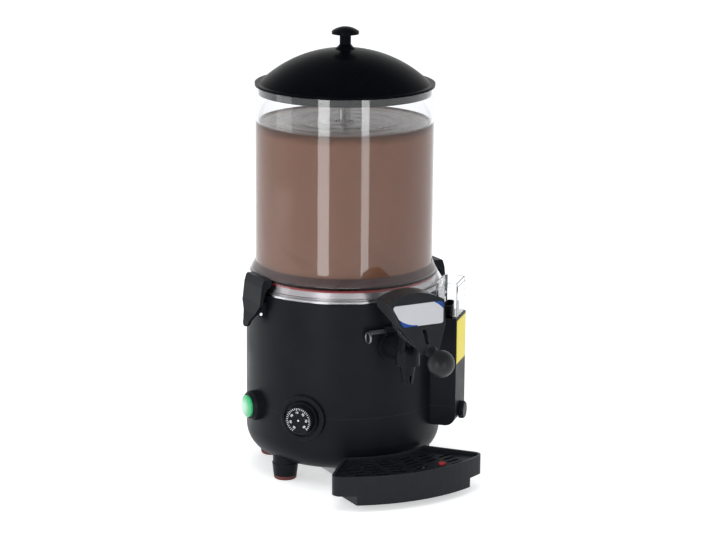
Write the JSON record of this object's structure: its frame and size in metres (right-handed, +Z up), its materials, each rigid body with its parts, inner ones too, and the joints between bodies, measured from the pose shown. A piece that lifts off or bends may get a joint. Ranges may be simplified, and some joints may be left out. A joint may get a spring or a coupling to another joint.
{
  "type": "hot chocolate dispenser",
  "caption": "Counter-top hot drink dispenser: clear bowl over a water bath, stirrer driven from below, lever tap, side water filler and drip tray",
  "frame": {"origin": "on the body's vertical axis, at the counter top that the feet stand on", "axes": "+Z up along the bowl's axis, -Y towards the tap and the user, +X to the right of someone who faces the tap"},
  "size_m": [0.2925, 0.4055, 0.58],
  "materials": {
    "black_plastic": "satin moulded black housing with a fine grain",
    "lid_plastic": "near-black moulded lid",
    "clear_plastic": "clear moulded polycarbonate",
    "red_rubber": "red silicone seal",
    "foot_rubber": "dark reddish soft rubber",
    "steel": "brushed stainless sheet",
    "bright_steel": "polished stainless pins and shafts",
    "zinc_steel": "plain zinc-coated sheet",
    "motor_metal": "dark painted motor and gearbox",
    "bronze": "sintered bronze bushes",
    "element": "dark sheathed heating element",
    "ceramic": "off-white moulded electrical parts",
    "white_plastic": "white moulded stirrer",
    "white_label": "white printed plate with blue edges",
    "yellow_label": "plain yellow label",
    "green_lens": "translucent green lens",
    "hose_rubber": "pale silicone hose"
  },
  "bodies": {
    "machine": {"upper_housing": "black_plastic", "lower_base": "black_plastic", "base_plate": "zinc_steel", "base_screws": "zinc_steel", "feet": "black_plastic", "foot_pads": "foot_rubber", "foot_screws": "zinc_steel", "water_tank": "steel", "heater_ring": "element", "safety_cutout": "ceramic", "product_pan": "steel", "column_seal": "red_rubber", "outlet_grommet": "red_rubber", "motor_bracket": "zinc_steel", "gearbox": "motor_metal", "motor": "motor_metal", "terminal_block": "ceramic", "cord_gland": "black_plastic", "shaft_bushes": "bronze", "bowl_gasket": "red_rubber", "bowl": "clear_plastic", "latch_brackets": "black_plastic", "latch_pins": "bright_steel", "tap_mount": "black_plastic", "tap_body": "black_plastic", "tap_seals": "red_rubber", "tap_cap": "black_plastic", "tap_spring": "bright_steel", "lever_pin": "bright_steel", "dial_bezel": "black_plastic", "thermostat": "zinc_steel", "switch_collar": "black_plastic", "switch_body": "black_plastic", "filler_neck": "black_plastic", "filler_label": "yellow_label", "water_hose": "hose_rubber", "drain_pipe": "steel", "tray_rails": "zinc_steel"},
    "shaft": {"drive_shaft": "bright_steel"},
    "stirrer": {"stirrer_tube": "bright_steel", "stirrer_paddle": "white_plastic"},
    "lid": {"lid": "lid_plastic", "lid_knob": "lid_plastic", "lid_screw": "bright_steel"},
    "left_latch": {"latch_left": "black_plastic"},
    "right_latch": {"latch_right": "black_plastic"},
    "lever": {"tap_lever": "black_plastic", "lever_label": "white_label", "ball_stem": "black_plastic", "ball_knob": "black_plastic"},
    "plunger": {"tap_plunger": "black_plastic"},
    "pull_pin": {"tap_pin": "bright_steel"},
    "dial": {"dial_knob": "black_plastic"},
    "button": {"switch_button": "green_lens"},
    "cup": {"filler_cup": "clear_plastic"},
    "drain": {"drain_cap": "black_plastic"},
    "tray": {"drip_tray": "black_plastic"},
    "grille": {"drip_grille": "black_plastic"},
    "float": {"level_float": "red_rubber"}
  },
  "joints": [
    {"name": "shaft_spin", "type": "hinge", "parent": "machine", "child": "shaft", "pos_m": [0, 0, 0.3], "axis": [0, 0, 1], "continuous": true},
    {"name": "stirrer_lift", "type": "slide", "parent": "shaft", "child": "stirrer", "axis": [0, 0, 1], "range_m": [0, 0.04]},
    {"name": "lid_lift", "type": "slide", "parent": "machine", "child": "lid", "axis": [0, 0, 1], "range_m": [0, 0.12]},
    {"name": "left_latch_swing", "type": "hinge", "parent": "machine", "child": "left_latch", "pos_m": [-0.1315, -0.005, 0.222], "axis": [0, -1, 0], "range_deg": [0, 28]},
    {"name": "right_latch_swing", "type": "hinge", "parent": "machine", "child": "right_latch", "pos_m": [0.1315, -0.005, 0.222], "axis": [0, 1, 0], "range_deg": [0, 28]},
    {"name": "lever_swing", "type": "hinge", "parent": "machine", "child": "lever", "pos_m": [0, -0.183, 0.224], "axis": [1, 0, 0], "range_deg": [0, 25], "stiffness_Nm_per_rad": 0.6, "springref_deg": -14.32},
    {"name": "plunger_lift", "type": "slide", "parent": "machine", "child": "plunger", "axis": [0, 0, 1], "range_m": [0, 0.0042], "deforming": ["tap_spring"]},
    {"name": "pin_pull", "type": "slide", "parent": "machine", "child": "pull_pin", "axis": [-1, 0, 0], "range_m": [0, 0.06]},
    {"name": "dial_turn", "type": "hinge", "parent": "machine", "child": "dial", "pos_m": [-0.10501, -0.08323, 0.095], "axis": [0.7837, 0.6211, 0], "range_deg": [0, 270]},
    {"name": "button_press", "type": "slide", "parent": "machine", "child": "button", "axis": [1, 0, 0], "range_m": [0, 0.003], "stiffness_N_per_m": 300, "springref_m": -0.003},
    {"name": "cup_lift", "type": "slide", "parent": "machine", "child": "cup", "axis": [0, 0, 1], "range_m": [0, 0.06]},
    {"name": "drain_pull", "type": "slide", "parent": "machine", "child": "drain", "axis": [0.7193, -0.6947, 0], "range_m": [0, 0.02]},
    {"name": "tray_slide", "type": "slide", "parent": "machine", "child": "tray", "axis": [0, -1, 0], "range_m": [0, 0.13]},
    {"name": "grille_lift", "type": "slide", "parent": "tray", "child": "grille", "axis": [0, 0, 1], "range_m": [0, 0.02]},
    {"name": "float_rise", "type": "slide", "parent": "tray", "child": "float", "axis": [0, 0, 1], "range_m": [0, 0.012]}
  ],
  "couplings": [
    {"joint": "plunger_lift", "follows": "lever_swing", "m_per_rad": 0.0095}
  ]
}
